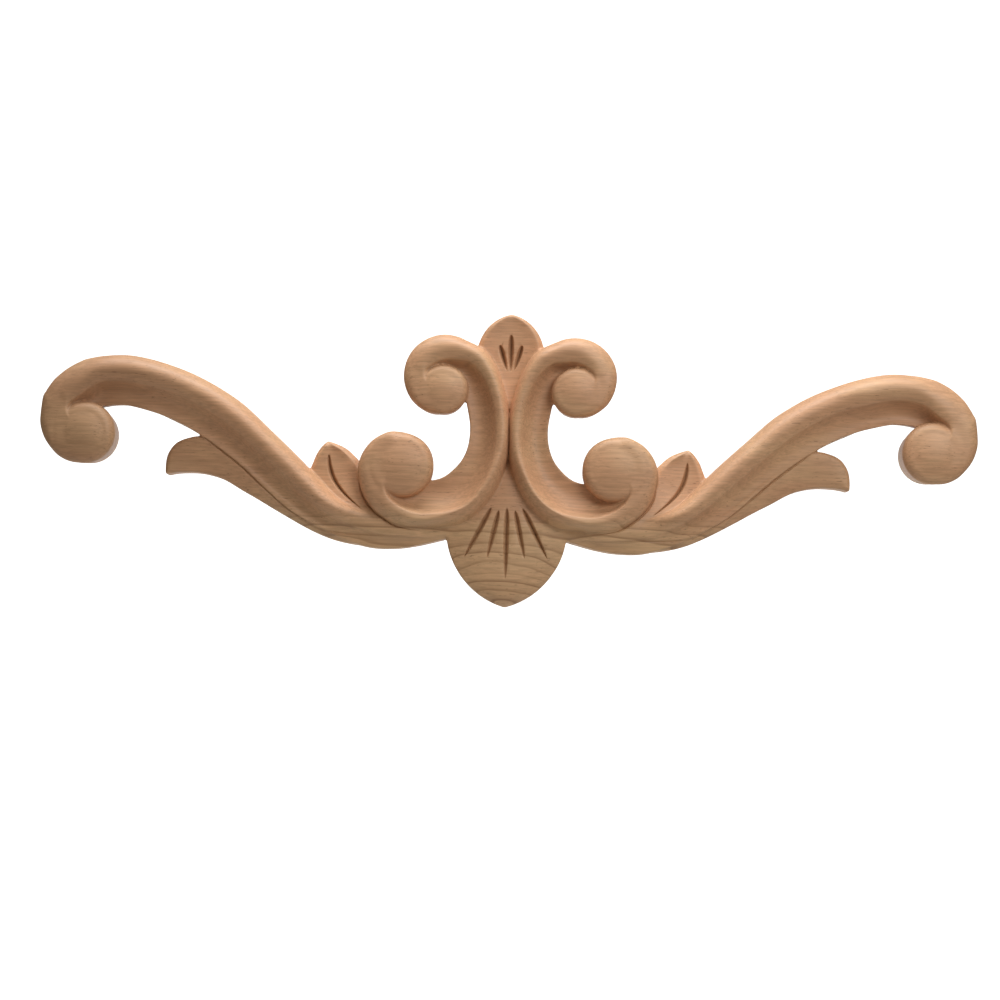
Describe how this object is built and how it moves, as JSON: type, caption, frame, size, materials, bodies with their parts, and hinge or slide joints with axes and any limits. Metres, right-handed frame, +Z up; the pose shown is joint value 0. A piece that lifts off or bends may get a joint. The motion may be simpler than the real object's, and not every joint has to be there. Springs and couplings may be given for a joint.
{
  "type": "carved wooden scroll onlay",
  "caption": "Carved wooden onlay with back-to-back C-scrolls, a leaf above, a gouged tongue below and leafy S-shaped arms ending in volutes; flat back for gluing.",
  "frame": {"origin": "on the flat back, on the mirror line, at the height of the lower eyes of the C-scrolls", "axes": "+X to the right and +Z up as seen from the front; the carved face looks along -Y and the flat back lies in the plane Y = 0"},
  "size_m": [0.2994, 0.018, 0.0943],
  "materials": {
    "wood": "bare, sanded rubberwood"
  },
  "bodies": {
    "root": {"carved_onlay": "wood"}
  },
  "joints": []
}
